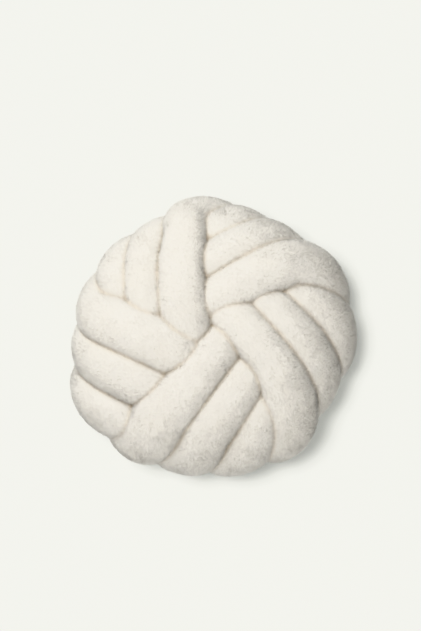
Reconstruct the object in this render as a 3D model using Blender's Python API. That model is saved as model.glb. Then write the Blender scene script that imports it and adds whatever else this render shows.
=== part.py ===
# Knot cushion: one long stuffed plush tube, wound over and under itself into a flat round knot.
# Blender 4.5, metres, +Z up. The knot lies on its back on z = 0, its face up and centred on X and Y.
#
# The face is a pinwheel of five groups of three side-by-side strands of the tube. Each group runs in from the
# rim and dives under the first strand of the next group. At its outer end it goes over the rim to the back,
# which is another such pinwheel. The fifteen strands that show are swept one by one, each from where it dives
# into the face, over the rim, to where it dives into the back. They are then joined, with the packed middle
# that their hidden ends make, into one filled solid, pressed flat where it rests.

import math

import bmesh
import bpy
from mathutils import Matrix, Vector

NAME = "knot_cushion"

# Driving dimensions
HEIGHT = 0.150            # floor to crown as drawn. Easing the strands' bends then lowers the crown by 3 mm
FLAT_CUT = 0.006          # how much of the back's strands is pressed flat on the floor
TUBE_DEEP = 0.052         # the stuffed tube, measured through the knot's skin
RIM_WIDE = 0.058          # the tube's width where it goes over the rim
DOME_POWER = 3.0          # 2 makes the knot's side view an ellipse, more gives it a flatter face
RIM_SLANT = 18.0          # degrees that a strand runs round the rim for each radian that it goes down it
TUCK_RUN = 0.034          # how far a dived end runs on under the strand that covers it
TUCK_DROP = 0.040         # how much lower that hidden end lies
DIVE_DROP = 0.010         # how much lower a strand already lies where it goes out of sight
LIFT = {1: 0.004, 2: 0.001, 3: -0.002}   # a group's first strand rides over the ends of the group before it
BEND_FILL = 0.8           # share of a bend's radius that the tube fills on the inner side, where it is pinched

CORE_REACH = 0.155        # the packed middle of the knot
CORE_DEEP = 0.088

# How finely the strands are made
RING_STEP = 0.013
RING_SIDES = 16
RIM_POINTS = 3
CURVE_POINTS = 12
EASE_PASSES = 4
CORE_SIDES = 32
SHARP_ANGLE = 50.0
WELD = 0.00001

# Plush: warm white, dull
PLUSH_COLOUR = (0.86, 0.82, 0.74, 1.0)
PLUSH_ROUGHNESS = 0.95

# The face's strands, in their order round the rim, anticlockwise. rim: where the strand passes middle height,
# in degrees from +X. reach: its outer skin there, from the knot's axis. mid and dive: its centre line half
# way, and where it goes out of sight. wide: its width over the face.
FACE = (
    # group, strand, rim, reach, (mid x, mid y), (dive x, dive y), wide
    ("A", 1, 101.0, 0.179, (-0.039, 0.088), (-0.038, 0.004), 0.060),
    ("A", 2, 122.0, 0.171, (-0.086, 0.078), (-0.085, 0.028), 0.052),
    ("A", 3, 142.0, 0.180, (-0.127, 0.076), (-0.124, 0.050), 0.052),
    ("E", 1, 164.0, 0.184, (-0.100, 0.004), (-0.042, -0.025), 0.062),
    ("E", 2, 185.0, 0.187, (-0.122, -0.044), (-0.080, -0.066), 0.057),
    ("E", 3, 206.0, 0.197, (-0.140, -0.084), (-0.110, -0.100), 0.052),
    ("D", 1, 231.0, 0.198, (-0.042, -0.067), (0.010, -0.012), 0.060),
    ("D", 2, 257.0, 0.185, (0.008, -0.098), (0.043, -0.050), 0.055),
    ("D", 3, 280.0, 0.184, (0.050, -0.122), (0.068, -0.090), 0.052),
    ("C", 1, 304.0, 0.186, (0.080, -0.050), (0.024, 0.030), 0.063),
    ("C", 2, 326.0, 0.184, (0.114, -0.008), (0.066, 0.045), 0.052),
    ("C", 3, 352.0, 0.185, (0.144, 0.024), (0.108, 0.057), 0.052),
    ("B", 1, 24.0, 0.184, (0.060, 0.080), (-0.002, 0.044), 0.064),
    ("B", 2, 50.0, 0.175, (0.050, 0.122), (-0.004, 0.096), 0.052),
    ("B", 3, 73.0, 0.175, (0.026, 0.143), (-0.002, 0.134), 0.052),
)

# The back's strands, alike in each of its five groups, as they lie in a group that leaves the rim at +Y.
BACK = (
    # strand, (mid x, mid y), (dive x, dive y), wide
    (1, (-0.032, 0.085), (-0.034, 0.008), 0.058),
    (2, (-0.083, 0.082), (-0.082, 0.025), 0.048),
    (3, (-0.126, 0.080), (-0.123, 0.043), 0.047),
)
FIRST_RIM = 92.0          # where that group's first strand passes the rim, in degrees
BACK_REACH = 0.184        # outer skin of the back's dome at the rim

# Worked out from the above
STRANDS = len(FACE)
IN_GROUP = len(BACK)
RIM_PITCH = 360.0 / STRANDS
GROUP_TURN = RIM_PITCH * IN_GROUP
MID = (HEIGHT - FLAT_CUT) / 2
DOME_RISE = HEIGHT - LIFT[1] - MID - TUBE_DEEP / 2


def polar(degrees, radius):
    angle = math.radians(degrees)
    return Vector((radius * math.cos(angle), radius * math.sin(angle), 0.0))


def dome_height(distance, reach):
    """Height of a centre line above middle height, at a distance from the knot's axis."""
    inside = max(0.0, 1.0 - (distance / reach) ** DOME_POWER)
    return DOME_RISE * math.sqrt(inside)


def over_the_rim(mid, rim, reach, lift):
    """Points of a centre line from half way over the face out to the rim, slanting as it goes down."""
    turned = math.degrees(math.atan2(mid.y, mid.x))
    turned = rim + (turned - rim + 180.0) % 360.0 - 180.0
    start = math.asin(min(1.0, mid.xy.length / reach) ** (DOME_POWER / 2))
    left = math.pi / 2 - start
    bow = rim - turned + RIM_SLANT * left
    points = []
    for n in range(1, RIM_POINTS + 1):
        share = n / (RIM_POINTS + 1)
        steep = start + left * share
        angle = turned + (rim - turned) * share + bow * share * (1.0 - share)
        place = polar(angle, reach * math.sin(steep) ** (2 / DOME_POWER))
        place.z = DOME_RISE * math.cos(steep) + lift * (1.0 - share)
        points.append(place)
    return points


def half_route(strand, rim, reach, mid, dive, dome_reach):
    """Centre line of a strand over one face, from its hidden end out to the rim, heights from the middle."""
    mid = Vector((*mid, 0.0))
    dive = Vector((*dive, 0.0))
    hidden = dive + (dive - mid).normalized() * TUCK_RUN
    lift = LIFT[strand]
    to_rim = over_the_rim(mid, rim, reach, lift)
    for place, drop in ((hidden, TUCK_DROP), (dive, DIVE_DROP), (mid, 0.0)):
        place.z = dome_height(place.xy.length, dome_reach) + lift - drop
    return [hidden, dive, mid] + to_rim


def strand_route(index):
    """Points of one strand's centre line from its end in the face to its end in the back, and its widths.

    The back is an even pinwheel, turned over about a level axis. A group's first strand on the face meets
    the third of a group there, and a third meets a first.
    """
    group, strand, rim, reach, mid, dive, wide = FACE[index]
    reach -= TUBE_DEEP / 2
    face = half_route(strand, rim, reach, mid, dive, reach)
    partner = (IN_GROUP - 1 - index) % STRANDS
    strand, mid, dive, back_wide = BACK[partner % IN_GROUP]
    turn = Matrix.Rotation(math.radians(GROUP_TURN * (partner // IN_GROUP)), 2)
    over = 2 * FIRST_RIM + RIM_PITCH * (IN_GROUP - 1)
    mid = turn @ Vector(mid)
    dive = turn @ Vector(dive)
    back = half_route(strand, over - rim, reach, mid, dive, BACK_REACH - TUBE_DEEP / 2)
    axis = polar(over, 1.0)
    turned_over = Matrix(((axis.x, axis.y, 0.0), (axis.y, -axis.x, 0.0), (0.0, 0.0, -1.0)))
    points = face + [polar(rim, reach)] + [turned_over @ point for point in reversed(back)]
    return points, (wide, back_wide)


def curve_through(points):
    """Close points along a centripetal Catmull-Rom curve through the given points."""
    ends = [points[0] * 2 - points[1]] + points + [points[-1] * 2 - points[-2]]
    path = []
    for a, b, c, d in zip(ends, ends[1:], ends[2:], ends[3:]):
        knots = [0.0]
        for start, stop in ((a, b), (b, c), (c, d)):
            knots.append(knots[-1] + math.sqrt((stop - start).length))
        for i in range(CURVE_POINTS):
            t = knots[1] + (knots[2] - knots[1]) * i / CURVE_POINTS
            corners = [a, b, c, d]
            for level in (1, 2):
                corners = [
                    p.lerp(q, (t - knots[n]) / (knots[n + level] - knots[n]))
                    for n, (p, q) in enumerate(zip(corners, corners[1:]))
                ]
            path.append(corners[0].lerp(corners[1], (t - knots[1]) / (knots[2] - knots[1])))
    path.append(points[-1])
    return path


def even_steps(path, step):
    """The path with its points about one step apart, all along."""
    along = [0.0]
    for a, b in zip(path, path[1:]):
        along.append(along[-1] + (b - a).length)
    count = round(along[-1] / step)
    steps = []
    n = 0
    for i in range(count):
        wanted = along[-1] * i / count
        while along[n + 1] < wanted:
            n += 1
        steps.append(path[n].lerp(path[n + 1], (wanted - along[n]) / (along[n + 1] - along[n])))
    steps.append(path[-1])
    return steps


def eased(path):
    """The same path with its corners drawn round, as a stuffed tube takes them. Its ends stay."""
    for _ in range(EASE_PASSES):
        middle = [(a + b * 2 + c) / 4 for a, b, c in zip(path, path[1:], path[2:])]
        path = [path[0]] + middle + [path[-1]]
    return path


def outward(point, reach):
    """The way out of the knot's dome at a point, so that a strand's section lies flat on the knot."""
    distance = point.xy.length
    slope = DOME_POWER / 2 * (distance / reach) ** (DOME_POWER - 1) / reach
    radial = Vector((point.x, point.y, 0.0)).normalized()
    return (radial * slope + Vector((0.0, 0.0, point.z / DOME_RISE ** 2))).normalized()


def bend_at(path, i):
    """The way a path bends at a point, as long as 1 over the radius of the bend."""
    if not 0 < i < len(path) - 1:
        return Vector((0.0, 0.0, 0.0))
    before = path[i] - path[i - 1]
    after = path[i + 1] - path[i]
    return (after.normalized() - before.normalized()) * 2 / (before.length + after.length)


def width_at(share, widths):
    """The tube's width at a share of a strand's length: its own over each face, and RIM_WIDE half way."""
    from_rim = abs(2 * share - 1.0)
    return widths[0 if share < 0.5 else 1] * from_rim + RIM_WIDE * (1.0 - from_rim)


def swept_strand(path, widths, reach):
    """One strand: rounded rings along its path, bridged, and closed at both ends."""
    mesh = bmesh.new()
    rings = []
    last = len(path) - 1
    for i, point in enumerate(path):
        along = (path[min(i + 1, last)] - path[max(i - 1, 0)]).normalized()
        out = outward(point, reach)
        out = (out - along * out.dot(along)).normalized()
        side = along.cross(out)
        bend = bend_at(path, i)
        half_wide = width_at(i / last, widths) / 2
        ring = []
        for n in range(RING_SIDES):
            angle = 2 * math.pi * n / RING_SIDES
            offset = side * (half_wide * math.cos(angle)) + out * (TUBE_DEEP / 2 * math.sin(angle))
            inwards = offset.dot(bend)
            if inwards > BEND_FILL:
                offset *= BEND_FILL / inwards
            ring.append(mesh.verts.new(point + offset + Vector((0.0, 0.0, MID))))
        rings.append(ring)
    for ring, following in zip(rings, rings[1:]):
        for n in range(RING_SIDES):
            m = (n + 1) % RING_SIDES
            mesh.faces.new((ring[n], ring[m], following[m], following[n]))
    mesh.faces.new(rings[0])
    mesh.faces.new(rings[-1])
    bmesh.ops.triangulate(mesh, faces=mesh.faces)
    bmesh.ops.recalc_face_normals(mesh, faces=mesh.faces)
    return mesh


def packed_middle():
    """The inside of the knot, where the dived ends are packed together. It fills what the strands enclose."""
    mesh = bmesh.new()
    bmesh.ops.create_uvsphere(mesh, u_segments=CORE_SIDES, v_segments=CORE_SIDES // 2, radius=1.0)
    bmesh.ops.scale(mesh, vec=(CORE_REACH, CORE_REACH, CORE_DEEP / 2), verts=mesh.verts)
    bmesh.ops.translate(mesh, vec=(0.0, 0.0, MID), verts=mesh.verts)
    return mesh


def floor_block():
    """Takes off the lowest millimetres of the back, which the floor presses flat."""
    mesh = bmesh.new()
    bmesh.ops.create_cube(mesh, size=1.0)
    bmesh.ops.translate(mesh, vec=(0.0, 0.0, -0.5), verts=mesh.verts)
    return mesh


def linked(name, mesh, collection):
    data = bpy.data.meshes.new(name)
    mesh.to_mesh(data)
    mesh.free()
    made = bpy.data.objects.new(name, data)
    collection.objects.link(made)
    return made


def guide(made):
    made.hide_render = True
    made.display_type = "WIRE"
    return made


def outer_shell(made):
    """The object's joined shape as one mesh, without the small closed hollows left between the strands."""
    bpy.context.view_layer.update()
    evaluated = made.evaluated_get(bpy.context.evaluated_depsgraph_get())
    mesh = bmesh.new()
    mesh.from_mesh(evaluated.to_mesh())
    evaluated.to_mesh_clear()
    bmesh.ops.remove_doubles(mesh, verts=mesh.verts, dist=WELD)
    bmesh.ops.dissolve_degenerate(mesh, edges=mesh.edges, dist=WELD)
    left = set(mesh.verts)
    shells = []
    while left:
        reached = [left.pop()]
        shell = set(reached)
        while reached:
            found = {vert for edge in reached.pop().link_edges for vert in edge.verts} & left
            left -= found
            shell |= found
            reached += found
        shells.append(shell)
    shells.sort(key=len)
    hollows = [vert for shell in shells[:-1] for vert in shell]
    bmesh.ops.delete(mesh, geom=hollows, context="VERTS")
    return mesh


def box_middle(mesh):
    """Middle of the mesh's box on X and Y."""
    middle = Vector((0.0, 0.0, 0.0))
    for axis in (0, 1):
        places = [vert.co[axis] for vert in mesh.verts]
        middle[axis] = (min(places) + max(places)) / 2
    return middle


def plush():
    material = bpy.data.materials.new("ivory_plush")
    material.use_nodes = True
    shader = material.node_tree.nodes["Principled BSDF"]
    shader.inputs["Base Color"].default_value = PLUSH_COLOUR
    shader.inputs["Roughness"].default_value = PLUSH_ROUGHNESS
    shader.inputs["Metallic"].default_value = 0.0
    return material


def main():
    for old in list(bpy.data.objects):
        bpy.data.objects.remove(old, do_unlink=True)
    parts = bpy.data.collections.new(NAME)
    strands = bpy.data.collections.new("strands")
    cutters = bpy.data.collections.new("cutters")
    for collection in (parts, strands, cutters):
        bpy.context.scene.collection.children.link(collection)

    for index, (group, strand, rim, reach, *_) in enumerate(FACE):
        points, widths = strand_route(index)
        path = eased(even_steps(curve_through(points), RING_STEP))
        guide(linked(f"strand_{group}{strand}", swept_strand(path, widths, reach - TUBE_DEEP / 2), strands))
    block = guide(linked("floor_block", floor_block(), cutters))

    knot = linked(NAME, packed_middle(), parts)
    join = knot.modifiers.new("join strands", "BOOLEAN")
    join.operation = "UNION"
    join.operand_type = "COLLECTION"
    join.collection = strands
    press = knot.modifiers.new("press flat", "BOOLEAN")
    press.operation = "DIFFERENCE"
    press.object = block
    shell = outer_shell(knot)
    bmesh.ops.translate(shell, vec=-box_middle(shell), verts=shell.verts)
    knot.modifiers.clear()
    shell.to_mesh(knot.data)
    shell.free()
    knot.data.shade_smooth()
    knot.data.set_sharp_from_angle(angle=math.radians(SHARP_ANGLE))
    knot.data.materials.append(plush())


main()
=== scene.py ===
import math

import bmesh
import bpy
import numpy as np
from mathutils import Euler, Matrix, Vector


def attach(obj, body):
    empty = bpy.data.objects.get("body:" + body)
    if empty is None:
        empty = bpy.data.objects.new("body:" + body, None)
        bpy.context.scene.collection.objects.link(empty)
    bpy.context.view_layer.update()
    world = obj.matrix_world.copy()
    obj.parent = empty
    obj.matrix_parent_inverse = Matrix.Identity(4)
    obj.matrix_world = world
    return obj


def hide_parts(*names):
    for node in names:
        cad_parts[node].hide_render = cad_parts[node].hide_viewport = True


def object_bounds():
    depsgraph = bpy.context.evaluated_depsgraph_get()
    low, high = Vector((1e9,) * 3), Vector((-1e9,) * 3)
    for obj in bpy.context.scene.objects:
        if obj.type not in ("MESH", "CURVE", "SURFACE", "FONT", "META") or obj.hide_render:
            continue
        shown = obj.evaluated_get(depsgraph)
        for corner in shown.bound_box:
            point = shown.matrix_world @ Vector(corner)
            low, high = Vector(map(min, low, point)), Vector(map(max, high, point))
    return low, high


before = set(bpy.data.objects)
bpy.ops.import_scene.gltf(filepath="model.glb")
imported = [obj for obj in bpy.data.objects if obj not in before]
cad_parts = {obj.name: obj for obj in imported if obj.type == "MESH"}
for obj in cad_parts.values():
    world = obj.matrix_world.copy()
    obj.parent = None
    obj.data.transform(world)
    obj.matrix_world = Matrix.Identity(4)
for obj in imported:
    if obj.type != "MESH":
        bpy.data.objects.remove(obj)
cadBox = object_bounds()
bpy.ops.object.select_all(action="DESELECT")


# A new node: its settings come first, then its inputs, each of them a value or another node's socket
def node(tree, kind, inputs=None, **settings):
    made = tree.nodes.new(kind)
    for name, value in settings.items():
        setattr(made, name, value)
    for name, value in (inputs or {}).items():
        if isinstance(value, bpy.types.NodeSocket):
            tree.links.new(value, made.inputs[name])
        else:
            made.inputs[name].default_value = value
    return made


# The camera, the floor and the light
camera = {
    "imageWide": 421,
    "imageHigh": 631,
    "knotColumn": 214.2,   # where the knot's middle lies in the picture
    "knotRow": 335.7,
    "pixel": 0.001254,     # metres on the knot for one pixel of the picture
    "distance": 6.0,       # far away, with a long lens, so that the rim doesn't fall away
    "sensor": 36.0,        # in millimetres
    "seesTo": 100.0,
}


def placeCamera(look):
    middle = (cadBox[0] + cadBox[1]) / 2
    bpy.ops.object.camera_add(
        location=(
            middle.x + (look["imageWide"] / 2 - look["knotColumn"]) * look["pixel"],
            middle.y + (look["knotRow"] - look["imageHigh"] / 2) * look["pixel"],
            middle.z + look["distance"],
        ),
        rotation=(0, 0, 0),
    )
    lens = bpy.context.object
    lens.name = "camera"
    lens.data.sensor_width = look["sensor"]
    lens.data.lens = look["sensor"] * look["distance"] / (look["imageHigh"] * look["pixel"])
    lens.data.clip_end = look["seesTo"]
    bpy.context.scene.camera = lens


studio = {
    "floorSize": 60.0,
    "floorColour": (0.50, 0.505, 0.485, 1),
    "floorGlow": (0.23, 0.24, 0.23, 1),   # lit from below, as on a photographer's light table
    "skyColour": (1.0, 0.985, 0.955, 1),
    "skyStrength": 0.48,
    "lampColour": (1.0, 0.985, 0.96),
    "lamps": (
        # name, strength, width and turn in degrees, metres off: 0 is a sun, the others are softboxes
        ("floorLamp", 4.5, 18, (14, 0, 240), 0),    # draws the shadow on the floor
        ("topLamp", 1.25, 40, (13, 0, 215), 1.2),
        ("sideLamp", 1.36, 40, (52, 0, 216), 1.0),
        ("fillLamp", 0.8, 60, (60, 0, -12), 0),     # softens the knot's shaded side
    ),
}


def plainFloor(look):
    bpy.ops.mesh.primitive_plane_add(size=look["floorSize"], location=(0, 0, 0))
    floor = bpy.context.object
    floor.name = "floor"
    paint = bpy.data.materials.new("pale floor")
    paint.use_nodes = True
    shader = paint.node_tree.nodes["Principled BSDF"]
    shader.inputs["Base Color"].default_value = look["floorColour"]
    shader.inputs["Roughness"].default_value = 1
    shader.inputs["Specular IOR Level"].default_value = 0
    shader.inputs["Emission Color"].default_value = look["floorGlow"]
    shader.inputs["Emission Strength"].default_value = 1
    paint.cycles.emission_sampling = "NONE"
    floor.data.materials.append(paint)


def softLight(look):
    sky = bpy.data.worlds.new("studio")
    bpy.context.scene.world = sky
    sky.use_nodes = True
    sky.node_tree.nodes["Background"].inputs["Color"].default_value = look["skyColour"]
    sky.node_tree.nodes["Background"].inputs["Strength"].default_value = look["skyStrength"]
    for name, strength, degreesWide, degreesTurned, far in look["lamps"]:
        wide = math.radians(degreesWide)
        turn = Euler([math.radians(part) for part in degreesTurned])
        bpy.ops.object.light_add(type="AREA" if far else "SUN", rotation=turn)
        lamp = bpy.context.object
        lamp.name = name
        lamp.data.color = look["lampColour"]
        if far:
            lamp.location = turn.to_matrix() @ Vector((0, 0, far))
            lamp.data.shape = "DISK"
            lamp.data.size = 2 * far * math.tan(wide / 2)
            lamp.data.energy = strength * math.pi * far ** 2   # as bright on the knot as such a sun
            lamp.visible_camera = False
        else:
            lamp.data.energy = strength
            lamp.data.angle = wide
    bpy.context.scene.view_settings.view_transform = "Khronos PBR Neutral"


# Keeps the light of these lamps to these pieces
def lightOnly(lampNames, pieces):
    lit = bpy.data.collections.new("lit by " + lampNames[0])
    for piece in pieces:
        lit.objects.link(piece)
    for name in lampNames:
        bpy.data.objects[name].light_linking.receiver_collection = lit


placeCamera(camera)
plainFloor(studio)
softLight(studio)
lightOnly(["floorLamp"], [bpy.data.objects["floor"]])
print("camera, floor and light are set")


# The tube's centre lines: where each strand lies in the knot
tube = {
    "height": 0.150,
    "pressedFlat": 0.006,      # how far the floor presses the knot's bottom in
    "deep": 0.052,
    "domePower": 3.0,          # 2 is an ellipse from the side, more gives a flatter face
    "rimSlant": 18.0,          # degrees round the rim for each radian down it
    "diveDrop": 0.010,         # how deep a strand lies where it dives under the next group
    "tuckRun": 0.034,          # how far its hidden end runs on from there
    "tuckDrop": 0.040,         # and how deep that end lies
    "lift": {1: 0.004, 2: 0.001, 3: -0.002},   # how far each strand of a group lies off the dome
    "backReach": 0.184,
    "firstRim": 92.0,          # where an even group's first strand goes over the rim, in degrees
    # the shares of a strand's length where its widths hold: dive, mid and rim, then the back's mid and dive
    "widthAt": (0.08, 0.27, 0.5, 0.73, 0.92),
    "rimPoints": 3,            # points between a strand's mid and the rim
    "curvePoints": 12,         # steps between two points of the first curve
    "step": 0.013,             # the room between its points when it is eased
    "easePasses": 4,
    "easedPoints": 4,          # steps between two points of the eased curve
}

# The face's strands, anticlockwise. Metres from the knot's middle, and degrees from +X
faceStrands = (
    # strand, rim, reach, shoulder (x, y) if any, mid (x, y), dive (x, y), how wide at the rim, mid and dive
    # the group at the top left
    (1, 102.0, 0.178, (-0.035, 0.128), (-0.042, 0.088), (-0.035, 0.004), 0.046, 0.057, 0.056),
    (2, 121.0, 0.167, (-0.081, 0.118), (-0.088, 0.074), (-0.081, 0.022), 0.046, 0.045, 0.046),
    (3, 143.0, 0.175, None, (-0.124, 0.073), (-0.117, 0.042), 0.056, 0.048, 0.046),
    # at the left
    (1, 166.5, 0.181, (-0.130, 0.018), (-0.100, 0.003), (-0.034, -0.025), 0.058, 0.060, 0.056),
    (2, 188.0, 0.185, (-0.142, -0.033), (-0.120, -0.047), (-0.068, -0.065), 0.048, 0.055, 0.050),
    (3, 207.5, 0.200, None, (-0.141, -0.090), (-0.106, -0.108), 0.062, 0.052, 0.048),
    # at the bottom
    (1, 232.5, 0.194, (-0.070, -0.104), (-0.036, -0.069), (0.008, -0.012), 0.067, 0.053, 0.050),
    (2, 256.0, 0.184, (-0.018, -0.126), (0.004, -0.100), (0.043, -0.045), 0.060, 0.057, 0.050),
    (3, 279.0, 0.182, None, (0.052, -0.113), (0.069, -0.077), 0.058, 0.054, 0.048),
    # at the right
    (1, 301.5, 0.185, (0.095, -0.088), (0.074, -0.035), (0.018, 0.031), 0.062, 0.054, 0.054),
    (2, 332.5, 0.172, (0.121, -0.027), (0.097, 0.010), (0.051, 0.049), 0.056, 0.049, 0.042),
    (3, 358.5, 0.181, None, (0.134, 0.030), (0.090, 0.057), 0.066, 0.052, 0.046),
    # at the top right
    (1, 24.5, 0.182, (0.104, 0.089), (0.062, 0.079), (-0.002, 0.045), 0.056, 0.054, 0.044),
    (2, 55.0, 0.167, (0.068, 0.120), (0.033, 0.111), (-0.009, 0.086), 0.054, 0.045, 0.044),
    (3, 78.5, 0.169, None, (0.021, 0.137), (-0.009, 0.125), 0.058, 0.048, 0.044),
)
# The back's strands, alike in all five groups
backStrands = (
    # strand, mid (x, y), dive (x, y), how wide at the mid and dive
    (1, (-0.032, 0.085), (-0.034, 0.008), 0.058, 0.058),
    (2, (-0.083, 0.082), (-0.082, 0.025), 0.053, 0.048),
    (3, (-0.114, 0.074), (-0.117, 0.040), 0.053, 0.047),
)

strandCount = len(faceStrands)
inGroup = len(backStrands)
rimPitch = 360.0 / strandCount
middleHeight = (tube["height"] - tube["pressedFlat"]) / 2
domeRise = tube["height"] - tube["lift"][1] - middleHeight - tube["deep"] / 2


def polar(degrees, radius):
    angle = math.radians(degrees)
    return Vector((radius * math.cos(angle), radius * math.sin(angle), 0))


# How high the dome of centre lines stands over the knot's middle height, this far out
def domeHeight(distance, reach):
    inside = max(0.0, 1.0 - (distance / reach) ** tube["domePower"])
    return domeRise * math.sqrt(inside)


# Points that follow the dome from a laid one down to the rim, turning towards the rim's slant
def overTheRim(laid, rim, reach, lift, count):
    turned = math.degrees(math.atan2(laid.y, laid.x))
    turned = rim + (turned - rim + 180.0) % 360.0 - 180.0
    start = math.asin(min(1.0, laid.xy.length / reach) ** (tube["domePower"] / 2))
    left = math.pi / 2 - start
    bow = rim - turned + tube["rimSlant"] * left
    points = []
    for n in range(1, count + 1):
        share = n / (count + 1)
        steep = start + left * share
        angle = turned + (rim - turned) * share + bow * share * (1.0 - share)
        place = polar(angle, reach * math.sin(steep) ** (2 / tube["domePower"]))
        place.z = domeRise * math.cos(steep) + lift * (1.0 - share)
        points.append(place)
    return points


# Half a strand: from its hidden end out over the dome, and down to just before the rim
def halfRoute(strand, rim, reach, shoulder, mid, dive, domeReach):
    mid = Vector((*mid, 0))
    dive = Vector((*dive, 0))
    hidden = dive + (dive - mid).normalized() * tube["tuckRun"]
    lift = tube["lift"][strand]
    laid = [hidden, dive, mid]
    drops = [tube["tuckDrop"], tube["diveDrop"], 0]
    if shoulder:
        laid.append(Vector((*shoulder, 0)))
        drops.append(0)
    toRim = overTheRim(laid[-1], rim, reach, lift, tube["rimPoints"] - (1 if shoulder else 0))
    for place, drop in zip(laid, drops):
        place.z = domeHeight(place.xy.length, domeReach) + lift - drop
    return laid + toRim


# A whole strand, from its dive on the face, over the rim, to the dive of its partner on the back
def strandRoute(index):
    strand, rim, reach, shoulder, mid, dive, rimWide, wide, wideIn = faceStrands[index]
    reach -= tube["deep"] / 2
    face = halfRoute(strand, rim, reach, shoulder, mid, dive, reach)
    partner = (inGroup - 1 - index) % strandCount
    strand, mid, dive, backWide, backIn = backStrands[partner % inGroup]
    turn = Matrix.Rotation(math.radians(rimPitch * inGroup * (partner // inGroup)), 2)
    over = 2 * tube["firstRim"] + rimPitch * (inGroup - 1)
    mid = turn @ Vector(mid)
    dive = turn @ Vector(dive)
    back = halfRoute(strand, over - rim, reach, None, mid, dive, tube["backReach"] - tube["deep"] / 2)
    axis = polar(over, 1)
    turnedOver = Matrix(((axis.x, axis.y, 0), (axis.y, -axis.x, 0), (0, 0, -1)))
    points = face + [polar(rim, reach)] + [turnedOver @ point for point in reversed(back)]
    return points, (wideIn, wide, rimWide, backWide, backIn), reach


# A smooth curve through the points, that doesn't loop where they are close
def curveThrough(points, between):
    ends = [points[0] * 2 - points[1]] + points + [points[-1] * 2 - points[-2]]
    path = []
    for a, b, c, d in zip(ends, ends[1:], ends[2:], ends[3:]):
        knots = [0.0]
        for start, stop in ((a, b), (b, c), (c, d)):
            knots.append(knots[-1] + math.sqrt((stop - start).length))
        for i in range(between):
            t = knots[1] + (knots[2] - knots[1]) * i / between
            corners = [a, b, c, d]
            for level in (1, 2):
                corners = [
                    p.lerp(q, (t - knots[n]) / (knots[n + level] - knots[n]))
                    for n, (p, q) in enumerate(zip(corners, corners[1:]))
                ]
            path.append(corners[0].lerp(corners[1], (t - knots[1]) / (knots[2] - knots[1])))
    path.append(points[-1])
    return path


def evenSteps(path, step):
    along = [0.0]
    for a, b in zip(path, path[1:]):
        along.append(along[-1] + (b - a).length)
    count = round(along[-1] / step)
    steps = []
    n = 0
    for i in range(count):
        wanted = along[-1] * i / count
        while along[n + 1] < wanted:
            n += 1
        steps.append(path[n].lerp(path[n + 1], (wanted - along[n]) / (along[n + 1] - along[n])))
    steps.append(path[-1])
    return steps


def eased(path, passes):
    for _ in range(passes):
        inner = [(a + b * 2 + c) / 4 for a, b, c in zip(path, path[1:], path[2:])]
        path = [path[0]] + inner + [path[-1]]
    return path


# The stuffed tube, strand by strand
stuffing = {
    "slack": 0.0015,       # the tubes start this much slimmer than they end
    "pressedWide": 0.012,  # and this much wider than the room they have, so that they press on each other
    "fullness": 2.0,       # 2 is an elliptical section, more is squarer
    "sides": 28,
    "ring": 0.0055,        # the room between two rings of faces
    "bendFill": 0.85,      # the share of a bend's radius that the tube fills on its inner side
    "pressure": 4.0,
    "frames": 20,
    "mostSwell": 0.003,
}


# The way off the knot's surface at a point of a centre line
def outwards(point, reach):
    distance = point.xy.length
    slope = tube["domePower"] / 2 * (distance / reach) ** (tube["domePower"] - 1) / reach
    radial = Vector((point.x, point.y, 0)).normalized()
    return (radial * slope + Vector((0, 0, point.z / domeRise ** 2))).normalized()


# Points into a path's bend, and is one over its radius long
def bendAt(path, i):
    if not 0 < i < len(path) - 1:
        return Vector((0, 0, 0))
    before = path[i] - path[i - 1]
    after = path[i + 1] - path[i]
    return (after.normalized() - before.normalized()) * 2 / (before.length + after.length)


def section(angle, power):
    across = math.copysign(abs(math.cos(angle)) ** (2 / power), math.cos(angle))
    up = math.copysign(abs(math.sin(angle)) ** (2 / power), math.sin(angle))
    return across, up


def addStrand(mesh, path, widths, reach, look):
    last = len(path) - 1
    halfDeep = tube["deep"] / 2 - look["slack"]
    rings = []
    for i, point in enumerate(path):
        along = (path[min(i + 1, last)] - path[max(i - 1, 0)]).normalized()
        out = outwards(point, reach)
        out = (out - along * out.dot(along)).normalized()
        side = along.cross(out)
        bend = bendAt(path, i)
        wide = float(np.interp(i / last, tube["widthAt"], widths))
        halfWide = (wide + look["pressedWide"]) / 2 - look["slack"]
        ring = []
        for n in range(look["sides"]):
            across, up = section(2 * math.pi * n / look["sides"], look["fullness"])
            offset = side * (halfWide * across) + out * (halfDeep * up)
            inwards = offset.dot(bend)
            if inwards > look["bendFill"]:
                offset *= look["bendFill"] / inwards
            ring.append(mesh.verts.new(point + offset + Vector((0, 0, middleHeight))))
        rings.append(ring)
    for ring, following in zip(rings, rings[1:]):
        for n in range(look["sides"]):
            m = (n + 1) % look["sides"]
            mesh.faces.new((ring[n], ring[m], following[m], following[n]))
    mesh.faces.new(rings[0])
    mesh.faces.new(rings[-1])


def tubes(look):
    mesh = bmesh.new()
    for index in range(strandCount):
        points, widths, reach = strandRoute(index)
        drawn = evenSteps(curveThrough(points, tube["curvePoints"]), tube["step"])
        smooth = curveThrough(eased(drawn, tube["easePasses"]), tube["easedPoints"])
        addStrand(mesh, evenSteps(smooth, look["ring"]), widths, reach, look)
    bmesh.ops.recalc_face_normals(mesh, faces=mesh.faces)
    data = bpy.data.meshes.new("tubes")
    mesh.to_mesh(data)
    mesh.free()
    made = bpy.data.objects.new("tubes", data)
    bpy.context.scene.collection.objects.link(made)
    return made


def takeUp(piece):
    bpy.ops.object.select_all(action="DESELECT")
    piece.select_set(True)
    bpy.context.view_layer.objects.active = piece


def placesOf(piece):
    places = np.empty(len(piece.data.vertices) * 3, np.float32)
    piece.data.vertices.foreach_get("co", places)
    return places.reshape(-1, 3).astype(np.float64)


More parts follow.
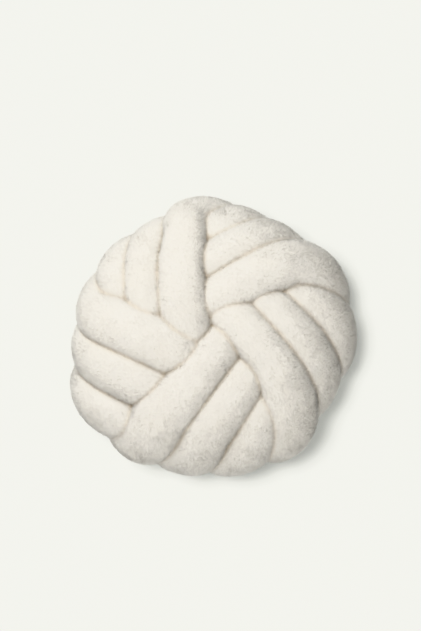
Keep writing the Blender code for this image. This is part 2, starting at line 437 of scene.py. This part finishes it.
def putPlaces(piece, places):
    piece.data.vertices.foreach_set("co", places.astype(np.float32).ravel())
    piece.data.update()


def flattenBelow(piece, height):
    places = placesOf(piece)
    places[:, 2] = np.maximum(places[:, 2], height)
    putPlaces(piece, places)


# Blows the tubes up as cloth, but nowhere by more than mostSwell
def stuff(piece, look):
    slack = placesOf(piece)
    takeUp(piece)
    cover = piece.modifiers.new("stuffing", "CLOTH")
    cover.settings.use_pressure = True
    cover.settings.uniform_pressure_force = look["pressure"]
    cover.settings.effector_weights.gravity = 0
    cover.point_cache.frame_start = 1
    cover.point_cache.frame_end = look["frames"]
    for step in range(1, look["frames"] + 1):
        bpy.context.scene.frame_set(step)
    bpy.ops.object.modifier_apply(modifier=cover.name)
    swell = placesOf(piece) - slack
    size = np.linalg.norm(swell, axis=1, keepdims=True)
    tiny = 1e-9
    putPlaces(piece, slack + swell * np.minimum(1, look["mostSwell"] / np.maximum(size, tiny)))
    bpy.context.scene.frame_set(1)


knot = tubes(stuffing)
print(strandCount, "strands are laid:", len(knot.data.polygons), "faces")
stuff(knot, stuffing)
print("the tubes are stuffed")


# The knot's skin: the strands packed into one closed form
skin = {
    "coreReach": 0.155,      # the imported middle, that the strands lie round
    "coreDeep": 0.088,
    "coreSides": 48,
    "voxel": 0.00203,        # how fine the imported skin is
    "smoothing": 1,
    "valleySpread": 9,       # rounds of averaging that show up the valleys
    "valleyDeep": 0.0012,    # a dip this deep below the averaged form is a full crease
    "creaseSpread": 2,       # rounds of averaging that soften the creases' edges
    "deepen": 1.0,           # how far the creases are drawn in, as a share of that dip
    "lump": 0.0010,          # how far the stuffing's lumps lift the skin
    "lumpScale": 26,         # and how many there are to a metre
    "tuft": 0.0003,          # the same for the pile's own tufts
    "tuftScale": 260,
    "offset": (0.0010, 0.0009),   # where the knot's middle lies in the frame
}


def packTogether(piece, look):
    sides = look["coreSides"]
    bpy.ops.mesh.primitive_uv_sphere_add(
        segments=sides, ring_count=sides // 2, radius=1, location=(0, 0, middleHeight),
    )
    core = bpy.context.object
    core.scale = (look["coreReach"], look["coreReach"], look["coreDeep"] / 2)
    takeUp(piece)
    core.select_set(True)
    bpy.ops.object.join()
    remesh = piece.modifiers.new("pack", "REMESH")
    remesh.mode = "VOXEL"
    remesh.voxel_size = look["voxel"]
    bpy.ops.object.modifier_apply(modifier=remesh.name)
    relax = piece.modifiers.new("relax", "SMOOTH")
    relax.iterations = look["smoothing"]
    bpy.ops.object.modifier_apply(modifier=relax.name)


def normalsOf(piece):
    normals = np.empty(len(piece.data.vertices) * 3, np.float32)
    piece.data.vertex_normals.foreach_get("vector", normals)
    return normals.reshape(-1, 3).astype(np.float64)


# Each vertex's value, drawn halfway to its neighbours' mean in every round. ends holds the edges' vertices
def averaged(values, ends, rounds):
    near = np.bincount(ends.ravel(), minlength=len(values))[:, None]
    for _ in range(rounds):
        total = np.empty_like(values)
        for column in range(values.shape[1]):
            total[:, column] = np.bincount(ends[:, 0], values[ends[:, 1], column], len(values))
            total[:, column] += np.bincount(ends[:, 1], values[ends[:, 0], column], len(values))
        values = (values + total / near) / 2
    return values


def keep(piece, name, values):
    attribute = piece.data.attributes.get(name) or piece.data.attributes.new(name, "FLOAT", "POINT")
    attribute.data.foreach_set("value", values.astype(np.float32))


# Draws the creases in, and keeps how deep in one each vertex lies, from 0 to 1
def findCreases(piece, look):
    ends = np.empty(len(piece.data.edges) * 2, np.int32)
    piece.data.edges.foreach_get("vertices", ends)
    ends = ends.reshape(-1, 2)
    places = placesOf(piece)
    normals = normalsOf(piece)
    dip = ((averaged(places, ends, look["valleySpread"]) - places) * normals).sum(1)
    drawnIn = np.clip(dip, 0, None) * look["deepen"]
    putPlaces(piece, places - normals * drawnIn[:, None])
    crease = np.clip(dip / look["valleyDeep"], 0, 1)[:, None]
    crease = averaged(crease, ends, look["creaseSpread"])[:, 0]
    keep(piece, "crease", crease)
    return crease


def lumpy(piece, look):
    takeUp(piece)
    for name in ("lump", "tuft"):
        clouds = bpy.data.textures.new(name, "CLOUDS")
        clouds.noise_scale = 1 / look[name + "Scale"]
        swell = piece.modifiers.new(name, "DISPLACE")
        swell.texture = clouds
        swell.texture_coords = "LOCAL"
        swell.strength = look[name] * 2   # half of it outwards, half inwards
        bpy.ops.object.modifier_apply(modifier=swell.name)


# Moves the knot to its place in the frame, with its bottom flat on the floor
def settle(piece, look):
    places = placesOf(piece)
    places[:, :2] += look["offset"]
    putPlaces(piece, places)
    flattenBelow(piece, 0)
    takeUp(piece)
    bpy.ops.object.shade_smooth()


packTogether(knot, skin)
crease = findCreases(knot, skin)
lumpy(knot, skin)
settle(knot, skin)
knot.name = "plush_knot"
print("packed:", len(knot.data.polygons), "faces")


# The plush's pile: short hairs over the whole knot, in five pieces so that no piece is heavy
pile = {
    "pieces": 5,
    "apart": 0.00108,        # the least room between two hairs
    "perArea": 1500000,      # how many are tried on a square metre
    "sides": 3,
    "wide": 0.00070,
    "long": 0.0042,
    "shortest": 0.55,        # the shortest hairs, as a share of the longest
    "inCrease": 0.75,        # and the hairs at the bottom of a crease
    "sunk": 0.0010,          # how deep the roots sit
    "sweep": 0.45,           # how far whole areas lie over
    "sweepScale": 42,
    "ruffle": 0.55,          # how far small tufts lie over
    "ruffleScale": 440,
    "swirlDetail": 1.0,
    "swirlGain": 4,          # noise stays close to its middle, so it is drawn out by this much
    "stray": 0.28,           # how far each hair strays by itself
    "droop": 0.12,           # and how far they all hang down
    "tuftShade": 0.42,       # how far a tuft's lean turns its shading
    "ownShade": 0.2,         # how much of a hair's own roundness shades it, the rest is the skin's
    "offFloor": 0.0035,      # no hair grows where the knot is pressed on the floor
    "clearOfFloor": 0.0003,  # and none reaches lower than this
    "rootSeed": 7,
    "straySeed": 11,
    "lengthSeed": 23,
}


def vectorSum(tree, parts):
    total = parts[0]
    for following in parts[1:]:
        total = node(tree, "ShaderNodeVectorMath", {0: total, 1: following}, operation="ADD").outputs[0]
    return total


def scaled(tree, vector, amount):
    return node(tree, "ShaderNodeVectorMath", {0: vector, "Scale": amount}, operation="SCALE").outputs[0]


# Noise that points every way, with its middle at nothing
def swirl(tree, scale, look):
    noise = node(tree, "ShaderNodeTexNoise", {"Scale": scale, "Detail": look["swirlDetail"]}).outputs["Color"]
    middle = (0.5, 0.5, 0.5)
    centred = node(tree, "ShaderNodeVectorMath", {0: noise, 1: middle}, operation="SUBTRACT").outputs[0]
    return scaled(tree, centred, look["swirlGain"])


def hairGroup(look):
    tree = bpy.data.node_groups.new("plush pile", "GeometryNodeTree")
    tree.interface.new_socket("Geometry", in_out="INPUT", socket_type="NodeSocketGeometry")
    tree.interface.new_socket("Geometry", in_out="OUTPUT", socket_type="NodeSocketGeometry")
    skinIn = node(tree, "NodeGroupInput").outputs[0]
    hairy = node(tree, "GeometryNodeInputNamedAttribute", {"Name": "hairy"}).outputs[0]
    length = node(tree, "GeometryNodeInputNamedAttribute", {"Name": "hairLength"}).outputs[0]
    roots = node(
        tree, "GeometryNodeDistributePointsOnFaces",
        {
            "Mesh": skinIn,
            "Distance Min": look["apart"],
            "Density Max": look["perArea"],
            "Density Factor": hairy,
            "Seed": look["rootSeed"],
        },
        distribute_method="POISSON",
    )
    normal = roots.outputs["Normal"]
    # which way each hair lies over, and from that which way it stands
    stray = node(
        tree, "FunctionNodeRandomValue",
        {0: (-look["stray"],) * 3, 1: (look["stray"],) * 3, "Seed": look["straySeed"]},
        data_type="FLOAT_VECTOR",
    ).outputs[0]
    sweep = scaled(tree, swirl(tree, look["sweepScale"], look), look["sweep"])
    tufts = swirl(tree, look["ruffleScale"], look)
    ruffle = scaled(tree, tufts, look["ruffle"])
    lie = vectorSum(tree, [sweep, ruffle, stray, (0, 0, -look["droop"])])
    upright = node(tree, "ShaderNodeVectorMath", {0: lie, 1: normal}, operation="PROJECT").outputs[0]
    along = node(tree, "ShaderNodeVectorMath", {0: lie, 1: upright}, operation="SUBTRACT").outputs[0]
    heading = vectorSum(tree, [normal, along])
    turned = node(tree, "FunctionNodeAlignRotationToVector", {"Vector": heading}, axis="Z").outputs[0]
    # one hair, and its length on each root
    hair = node(
        tree, "GeometryNodeMeshCone",
        {
            "Vertices": look["sides"],
            "Radius Top": 0,
            "Radius Bottom": look["wide"],
            "Depth": look["long"] + look["sunk"],
        },
    ).outputs["Mesh"]
    sunk = (0, 0, -look["sunk"])
    hair = node(tree, "GeometryNodeTransform", {"Geometry": hair, "Translation": sunk}).outputs[0]
    share = node(
        tree, "FunctionNodeRandomValue",
        {2: look["shortest"], 3: 1.0, "Seed": look["lengthSeed"]},
    ).outputs[1]
    long = node(tree, "ShaderNodeMath", {0: share, 1: length}, operation="MULTIPLY").outputs[0]
    size = node(tree, "ShaderNodeCombineXYZ", {"X": 1, "Y": 1, "Z": long}).outputs[0]
    # the roots keep the skin's normal, for the shading
    shade = vectorSum(tree, [normal, scaled(tree, tufts, look["tuftShade"])])
    marked = node(
        tree, "GeometryNodeStoreNamedAttribute",
        {"Geometry": roots.outputs["Points"], "Name": "skinNormal", "Value": shade},
        data_type="FLOAT_VECTOR", domain="POINT",
    ).outputs[0]
    hairs = node(
        tree, "GeometryNodeInstanceOnPoints",
        {"Points": marked, "Instance": hair, "Rotation": turned, "Scale": size},
    ).outputs[0]
    real = node(tree, "GeometryNodeRealizeInstances", {"Geometry": hairs}).outputs[0]
    smooth = node(tree, "GeometryNodeSetShadeSmooth", {"Geometry": real}).outputs[0]
    tree.links.new(smooth, node(tree, "NodeGroupOutput").inputs[0])
    return tree


# Shades a hair mostly as the skin under it, so that the pile looks soft
def shadeHairs(part, look):
    own = normalsOf(part)
    skinward = np.empty(len(own) * 3, np.float32)
    part.data.attributes["skinNormal"].data.foreach_get("vector", skinward)
    shade = skinward.reshape(-1, 3) * (1 - look["ownShade"]) + own * look["ownShade"]
    shade /= np.linalg.norm(shade, axis=1, keepdims=True)
    part.data.normals_split_custom_set_from_vertices(shade.tolist())


# The pile's map for baking: across its wedge of the knot, and from the knot's top to its bottom
def mapHairs(part, number, wedge):
    places = placesOf(part)
    corners = np.empty(len(part.data.loops), np.int32)
    part.data.loops.foreach_get("vertex_index", corners)
    turned = np.degrees(np.arctan2(places[:, 1], places[:, 0]))
    around = (turned - number * wedge - wedge / 2 + 180) % 360 - 180
    around = np.clip(around / wedge + 0.5, 0, 1)
    out = np.linalg.norm(places[:, :2], axis=1)
    down = np.arctan2(out, (places[:, 2] - middleHeight) * 2) / math.pi
    for layer in list(part.data.uv_layers):
        part.data.uv_layers.remove(layer)
    spots = np.stack([around, down], 1)[corners]
    part.data.uv_layers.new(name="OFBake").data.foreach_set("uv", spots.astype(np.float32).ravel())


def growPile(piece, crease, look):
    group = hairGroup(look)
    places = placesOf(piece)
    wedge = 360 / look["pieces"]
    turned = np.degrees(np.arctan2(places[:, 1], places[:, 0])) % 360
    pressed = places[:, 2] < look["offFloor"]
    grown = []
    for number in range(look["pieces"]):
        takeUp(piece)
        bpy.ops.object.duplicate()
        part = bpy.context.object
        part.name = "plush_pile_" + chr(ord("a") + number)
        mine = (turned // wedge).astype(int) == number
        keep(part, "hairy", np.where(mine & ~pressed, 1.0, 0.0))
        keep(part, "hairLength", 1 - crease * (1 - look["inCrease"]))
        grow = part.modifiers.new("grow", "NODES")
        grow.node_group = group
        bpy.ops.object.modifier_apply(modifier=grow.name)
        flattenBelow(part, look["clearOfFloor"])
        shadeHairs(part, look)
        mapHairs(part, number, wedge)
        grown.append(part)
        print(part.name, len(part.data.vertices) // (look["sides"] + 1), "hairs")
    return grown


hairs = growPile(knot, crease, pile)


# The plush's colour, the same on the skin and the pile, with painted shade in the creases: browner and darker
# there
plush = {
    "ivory": (0.95, 0.930, 0.880, 1),
    "cream": (0.94, 0.910, 0.845, 1),
    "patchScale": 22,
    "patchDetail": 3.0,
    # painted shade: the creases' darker brown stands in for the shade that falls into them
    "paintedCreaseShade": (0.60, 0.49, 0.35, 1),
    "paintedShadeShare": 0.75,
    "shine": 0.1,
    "sheen": 0.25,
    "sheenRough": 0.5,
    "bump": 0.25,
    "bumpDeep": 0.0006,
    "bumpScale": 900,
    "bumpDetail": 2.0,
}


# Inputs 6 and 7 of a mix node are its two colours, and output 2 is the mixed one
def mixed(tree, share, first, second):
    return node(tree, "ShaderNodeMix", {0: share, 6: first, 7: second}, data_type="RGBA").outputs[2]


def noiseAt(tree, here, scale, detail):
    return node(tree, "ShaderNodeTexNoise", {"Vector": here, "Scale": scale, "Detail": detail}).outputs["Fac"]


def plushMaterial(look):
    material = bpy.data.materials.new("ivory plush")
    material.use_nodes = True
    tree = material.node_tree
    shader = tree.nodes["Principled BSDF"]
    here = node(tree, "ShaderNodeTexCoord").outputs["Object"]
    patches = noiseAt(tree, here, look["patchScale"], look["patchDetail"])
    ivory = mixed(tree, patches, look["ivory"], look["cream"])
    # painted shade: each point is mixed towards the creases' darker brown by how deep in a crease it lies
    deep = node(tree, "ShaderNodeAttribute", attribute_name="crease").outputs["Fac"]
    share = node(tree, "ShaderNodeMath", {0: deep, 1: look["paintedShadeShare"]}, operation="MULTIPLY").outputs[0]
    tree.links.new(mixed(tree, share, ivory, look["paintedCreaseShade"]), shader.inputs["Base Color"])
    grain = noiseAt(tree, here, look["bumpScale"], look["bumpDetail"])
    relief = node(
        tree, "ShaderNodeBump",
        {"Height": grain, "Strength": look["bump"], "Distance": look["bumpDeep"]},
    ).outputs[0]
    tree.links.new(relief, shader.inputs["Normal"])
    shader.inputs["Roughness"].default_value = 1
    shader.inputs["Specular IOR Level"].default_value = look["shine"]
    shader.inputs["Sheen Weight"].default_value = look["sheen"]
    shader.inputs["Sheen Roughness"].default_value = look["sheenRough"]
    return material


ivoryPlush = plushMaterial(plush)
for piece in [knot] + hairs:
    piece.data.materials.clear()
    piece.data.materials.append(ivoryPlush)
    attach(piece, "root")
lightOnly(["topLamp", "sideLamp", "fillLamp"], [knot] + hairs)
print("the plush is on", len(hairs) + 1, "pieces")

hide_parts("knot_cushion")
